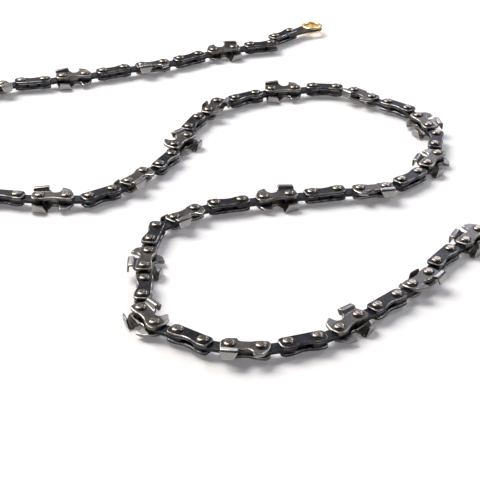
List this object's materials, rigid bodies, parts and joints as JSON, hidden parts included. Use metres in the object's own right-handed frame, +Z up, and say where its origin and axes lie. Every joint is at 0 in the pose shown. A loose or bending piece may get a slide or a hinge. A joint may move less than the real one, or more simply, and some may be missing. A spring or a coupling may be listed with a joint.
{
  "type": "rope saw chain",
  "caption": "Hand-pulled saw chain of riveted tie straps, two-way folded cutters and centre links, lying in loose folds, with a flared end plate and brass eyelet at each end.",
  "frame": {"origin": "bottom centre of the box of the chain as it lies on its side", "axes": "+Z up along the rivet axes, +X to the right and +Y away from the viewer of the picture"},
  "size_m": [0.2686, 0.2932, 0.0068],
  "materials": {
    "black_steel": "satin black oxide",
    "bright_steel": "bright gunmetal, ground cutting edges",
    "eyelet_brass": "polished"
  },
  "bodies": {
    "end_a": {"end_plate_a": "black_steel", "eyelet_a": "eyelet_brass"},
    "link_01": {"strap_link_01": "black_steel"},
    "link_02": {"strap_link_02": "black_steel"},
    "link_03": {"cutter_link_03": "bright_steel"},
    "link_04": {"strap_link_04": "black_steel"},
    "link_05": {"cutter_link_05": "bright_steel"},
    "link_06": {"strap_link_06": "black_steel"},
    "link_07": {"cutter_link_07": "bright_steel"},
    "link_08": {"strap_link_08": "black_steel"},
    "link_09": {"cutter_link_09": "bright_steel"},
    "link_10": {"strap_link_10": "black_steel"},
    "link_11": {"cutter_link_11": "bright_steel"},
    "link_12": {"strap_link_12": "black_steel"},
    "link_13": {"cutter_link_13": "bright_steel"},
    "link_14": {"strap_link_14": "black_steel"},
    "link_15": {"cutter_link_15": "bright_steel"},
    "link_16": {"strap_link_16": "black_steel"},
    "link_17": {"cutter_link_17": "bright_steel"},
    "link_18": {"strap_link_18": "black_steel"},
    "link_19": {"cutter_link_19": "bright_steel"},
    "link_20": {"strap_link_20": "black_steel"},
    "link_21": {"cutter_link_21": "bright_steel"},
    "link_22": {"strap_link_22": "black_steel"},
    "link_23": {"cutter_link_23": "bright_steel"},
    "link_24": {"strap_link_24": "black_steel"},
    "link_25": {"cutter_link_25": "bright_steel"},
    "link_26": {"strap_link_26": "black_steel"},
    "link_27": {"cutter_link_27": "bright_steel"},
    "link_28": {"strap_link_28": "black_steel"},
    "link_29": {"cutter_link_29": "bright_steel"},
    "link_30": {"strap_link_30": "black_steel"},
    "link_31": {"cutter_link_31": "bright_steel"},
    "link_32": {"strap_link_32": "black_steel"},
    "link_33": {"cutter_link_33": "bright_steel"},
    "link_34": {"strap_link_34": "black_steel"},
    "link_35": {"cutter_link_35": "bright_steel"},
    "link_36": {"strap_link_36": "black_steel"},
    "link_37": {"cutter_link_37": "bright_steel"},
    "link_38": {"strap_link_38": "black_steel"},
    "link_39": {"cutter_link_39": "bright_steel"},
    "link_40": {"strap_link_40": "black_steel"},
    "link_41": {"cutter_link_41": "bright_steel"},
    "link_42": {"strap_link_42": "black_steel"},
    "link_43": {"cutter_link_43": "bright_steel"},
    "link_44": {"strap_link_44": "black_steel"},
    "link_45": {"cutter_link_45": "bright_steel"},
    "link_46": {"strap_link_46": "black_steel"},
    "link_47": {"cutter_link_47": "bright_steel"},
    "link_48": {"strap_link_48": "black_steel"},
    "link_49": {"cutter_link_49": "bright_steel"},
    "link_50": {"strap_link_50": "black_steel"},
    "link_51": {"strap_link_51": "black_steel"},
    "end_b": {"end_plate_b": "black_steel", "eyelet_b": "eyelet_brass"}
  },
  "joints": [
    {"name": "pivot_25_26", "type": "hinge", "parent": "link_26", "child": "link_25", "pos_m": [0.03455, 0.06473, 0.0034], "axis": [0, 0, -1], "range_deg": [-9, 45]},
    {"name": "pivot_26_27", "type": "hinge", "parent": "link_26", "child": "link_27", "pos_m": [0.05235, 0.06018, 0.0034], "axis": [0, 0, -1], "range_deg": [-45, 8]},
    {"name": "pivot_24_25", "type": "hinge", "parent": "link_25", "child": "link_24", "pos_m": [0.01624, 0.06161, 0.0034], "axis": [0, 0, 1], "range_deg": [-45, 5]},
    {"name": "pivot_27_28", "type": "hinge", "parent": "link_27", "child": "link_28", "pos_m": [0.06605, 0.04755, 0.0034], "axis": [0, 0, 1], "range_deg": [-8, 45]},
    {"name": "pivot_23_24", "type": "hinge", "parent": "link_24", "child": "link_23", "pos_m": [0.00049, 0.05164, 0.0034], "axis": [0, 0, -1], "range_deg": [-13, 45]},
    {"name": "pivot_28_29", "type": "hinge", "parent": "link_28", "child": "link_29", "pos_m": [0.07735, 0.03327, 0.0034], "axis": [0, 0, -1], "range_deg": [-45, 8]},
    {"name": "pivot_22_23", "type": "hinge", "parent": "link_23", "child": "link_22", "pos_m": [-0.01079, 0.03862, 0.0034], "axis": [0, 0, 1], "range_deg": [-45, 16]},
    {"name": "pivot_29_30", "type": "hinge", "parent": "link_29", "child": "link_30", "pos_m": [0.083, 0.01552, 0.0034], "axis": [0, 0, 1], "range_deg": [-9, 45]},
    {"name": "pivot_21_22", "type": "hinge", "parent": "link_22", "child": "link_21", "pos_m": [-0.01855, 0.02173, 0.0034], "axis": [0, 0, -1], "range_deg": [-21, 43]},
    {"name": "pivot_30_31", "type": "hinge", "parent": "link_30", "child": "link_31", "pos_m": [0.08128, -0.00298, 0.0034], "axis": [0, 0, -1], "range_deg": [-45, 10]},
    {"name": "pivot_20_21", "type": "hinge", "parent": "link_21", "child": "link_20", "pos_m": [-0.02352, 0.00441, 0.0034], "axis": [0, 0, 1], "range_deg": [-39, 28]},
    {"name": "pivot_31_32", "type": "hinge", "parent": "link_31", "child": "link_32", "pos_m": [0.07195, -0.01913, 0.0034], "axis": [0, 0, 1], "range_deg": [-13, 45]},
    {"name": "pivot_19_20", "type": "hinge", "parent": "link_20", "child": "link_19", "pos_m": [-0.02849, -0.01327, 0.0034], "axis": [0, 0, -1], "range_deg": [-41, 35]},
    {"name": "pivot_32_33", "type": "hinge", "parent": "link_32", "child": "link_33", "pos_m": [0.05825, -0.03176, 0.0034], "axis": [0, 0, -1], "range_deg": [-45, 5]},
    {"name": "pivot_18_19", "type": "hinge", "parent": "link_19", "child": "link_18", "pos_m": [-0.03961, -0.02804, 0.0034], "axis": [0, 0, 1], "range_deg": [-25, 45]},
    {"name": "pivot_33_34", "type": "hinge", "parent": "link_33", "child": "link_34", "pos_m": [0.03978, -0.03424, 0.0034], "axis": [0, 0, -1], "range_deg": [-45, 21]},
    {"name": "pivot_17_18", "type": "hinge", "parent": "link_18", "child": "link_17", "pos_m": [-0.05336, -0.04041, 0.0034], "axis": [0, 0, -1], "range_deg": [-45, 21]},
    {"name": "pivot_34_35", "type": "hinge", "parent": "link_34", "child": "link_35", "pos_m": [0.02161, -0.03833, 0.0034], "axis": [0, 0, 1], "range_deg": [-29, 30]},
    {"name": "pivot_16_17", "type": "hinge", "parent": "link_17", "child": "link_16", "pos_m": [-0.07201, -0.04041, 0.0034], "axis": [0, 0, 1], "range_deg": [-19, 40]},
    {"name": "pivot_35_36", "type": "hinge", "parent": "link_35", "child": "link_36", "pos_m": [0.00359, -0.04316, 0.0034], "axis": [0, 0, 1], "range_deg": [-44, 30]},
    {"name": "pivot_15_16", "type": "hinge", "parent": "link_16", "child": "link_15", "pos_m": [-0.09047, -0.03793, 0.0034], "axis": [0, 0, -1], "range_deg": [-45, 16]},
    {"name": "pivot_36_37", "type": "hinge", "parent": "link_36", "child": "link_37", "pos_m": [-0.01355, -0.05008, 0.0034], "axis": [0, 0, -1], "range_deg": [-23, 45]},
    {"name": "pivot_14_15", "type": "hinge", "parent": "link_15", "child": "link_14", "pos_m": [-0.10651, -0.02854, 0.0034], "axis": [0, 0, 1], "range_deg": [-15, 45]},
    {"name": "pivot_37_38", "type": "hinge", "parent": "link_37", "child": "link_38", "pos_m": [-0.02674, -0.06327, 0.0034], "axis": [0, 0, -1], "range_deg": [-19, 45]},
    {"name": "pivot_13_14", "type": "hinge", "parent": "link_14", "child": "link_13", "pos_m": [-0.11957, -0.01533, 0.0034], "axis": [0, 0, -1], "range_deg": [-45, 14]},
    {"name": "pivot_38_39", "type": "hinge", "parent": "link_38", "child": "link_39", "pos_m": [-0.02847, -0.08177, 0.0034], "axis": [0, 0, 1], "range_deg": [-45, 16]},
    {"name": "pivot_12_13", "type": "hinge", "parent": "link_13", "child": "link_12", "pos_m": [-0.12732, 0.00156, 0.0034], "axis": [0, 0, 1], "range_deg": [-13, 45]},
    {"name": "pivot_39_40", "type": "hinge", "parent": "link_39", "child": "link_40", "pos_m": [-0.02858, -0.10035, 0.0034], "axis": [0, 0, 1], "range_deg": [-45, 14]},
    {"name": "pivot_11_12", "type": "hinge", "parent": "link_12", "child": "link_11", "pos_m": [-0.1297, 0.02004, 0.0034], "axis": [0, 0, -1], "range_deg": [-45, 14]},
    {"name": "pivot_40_41", "type": "hinge", "parent": "link_40", "child": "link_41", "pos_m": [-0.02858, -0.119, 0.0034], "axis": [0, 0, -1], "range_deg": [-5, 45]},
    {"name": "pivot_10_11", "type": "hinge", "parent": "link_11", "child": "link_10", "pos_m": [-0.12636, 0.03832, 0.0034], "axis": [0, 0, 1], "range_deg": [-14, 45]},
    {"name": "pivot_41_42", "type": "hinge", "parent": "link_41", "child": "link_42", "pos_m": [-0.01607, -0.13196, 0.0034], "axis": [0, 0, -1], "range_deg": [-13, 45]},
    {"name": "pivot_09_10", "type": "hinge", "parent": "link_10", "child": "link_09", "pos_m": [-0.11698, 0.05435, 0.0034], "axis": [0, 0, -1], "range_deg": [-45, 16]},
    {"name": "pivot_42_43", "type": "hinge", "parent": "link_42", "child": "link_43", "pos_m": [0.00049, -0.13992, 0.0034], "axis": [0, 0, 1], "range_deg": [-45, 14]},
    {"name": "pivot_08_09", "type": "hinge", "parent": "link_09", "child": "link_08", "pos_m": [-0.10268, 0.06621, 0.0034], "axis": [0, 0, 1], "range_deg": [-19, 45]},
    {"name": "pivot_43_44", "type": "hinge", "parent": "link_43", "child": "link_44", "pos_m": [0.0188, -0.13854, 0.0034], "axis": [0, 0, -1], "range_deg": [-15, 45]},
    {"name": "pivot_07_08", "type": "hinge", "parent": "link_08", "child": "link_07", "pos_m": [-0.08499, 0.07161, 0.0034], "axis": [0, 0, -1], "range_deg": [-45, 22]},
    {"name": "pivot_44_45", "type": "hinge", "parent": "link_44", "child": "link_45", "pos_m": [0.03528, -0.13015, 0.0034], "axis": [0, 0, 1], "range_deg": [-45, 18]},
    {"name": "pivot_06_07", "type": "hinge", "parent": "link_07", "child": "link_06", "pos_m": [-0.0675, 0.07787, 0.0034], "axis": [0, 0, 1], "range_deg": [-27, 45]},
    {"name": "pivot_45_46", "type": "hinge", "parent": "link_45", "child": "link_46", "pos_m": [0.04834, -0.11693, 0.0034], "axis": [0, 0, -1], "range_deg": [-21, 45]},
    {"name": "pivot_05_06", "type": "hinge", "parent": "link_06", "child": "link_05", "pos_m": [-0.0506, 0.08575, 0.0034], "axis": [0, 0, -1], "range_deg": [-45, 34]},
    {"name": "pivot_46_47", "type": "hinge", "parent": "link_46", "child": "link_47", "pos_m": [0.06097, -0.10323, 0.0034], "axis": [0, 0, 1], "range_deg": [-45, 25]},
    {"name": "pivot_04_05", "type": "hinge", "parent": "link_05", "child": "link_04", "pos_m": [-0.03307, 0.09213, 0.0034], "axis": [0, 0, 1], "range_deg": [-45, 45]},
    {"name": "pivot_47_48", "type": "hinge", "parent": "link_47", "child": "link_48", "pos_m": [0.07104, -0.08772, 0.0034], "axis": [0, 0, -1], "range_deg": [-32, 45]},
    {"name": "pivot_03_04", "type": "hinge", "parent": "link_04", "child": "link_03", "pos_m": [-0.01739, 0.10218, 0.0034], "axis": [0, 0, -1], "range_deg": [-45, 45]},
    {"name": "pivot_48_49", "type": "hinge", "parent": "link_48", "child": "link_49", "pos_m": [0.0829, -0.07342, 0.0034], "axis": [0, 0, 1], "range_deg": [-45, 25]},
    {"name": "pivot_02_03", "type": "hinge", "parent": "link_03", "child": "link_02", "pos_m": [-0.00091, 0.11058, 0.0034], "axis": [0, 0, 1], "range_deg": [-40, 30]},
    {"name": "pivot_49_50", "type": "hinge", "parent": "link_49", "child": "link_50", "pos_m": [0.0942, -0.05861, 0.0034], "axis": [0, 0, -1], "range_deg": [-45, 45]},
    {"name": "pivot_01_02", "type": "hinge", "parent": "link_02", "child": "link_01", "pos_m": [0.01659, 0.11683, 0.0034], "axis": [0, 0, 1], "range_deg": [-45, 10]},
    {"name": "pivot_50_51", "type": "hinge", "parent": "link_50", "child": "link_51", "pos_m": [0.1079, -0.04598, 0.0034], "axis": [0, 0, 1], "range_deg": [-45, 45]},
    {"name": "eye_a_pivot", "type": "hinge", "parent": "link_01", "child": "end_a", "pos_m": [0.02587, 0.13227, 0.0034], "axis": [0, 0, -1], "range_deg": [-45, 45]},
    {"name": "eye_b_pivot", "type": "hinge", "parent": "link_51", "child": "end_b", "pos_m": [0.11605, -0.04027, 0.0034], "axis": [0, 0, -1], "range_deg": [-45, 45]}
  ]
}
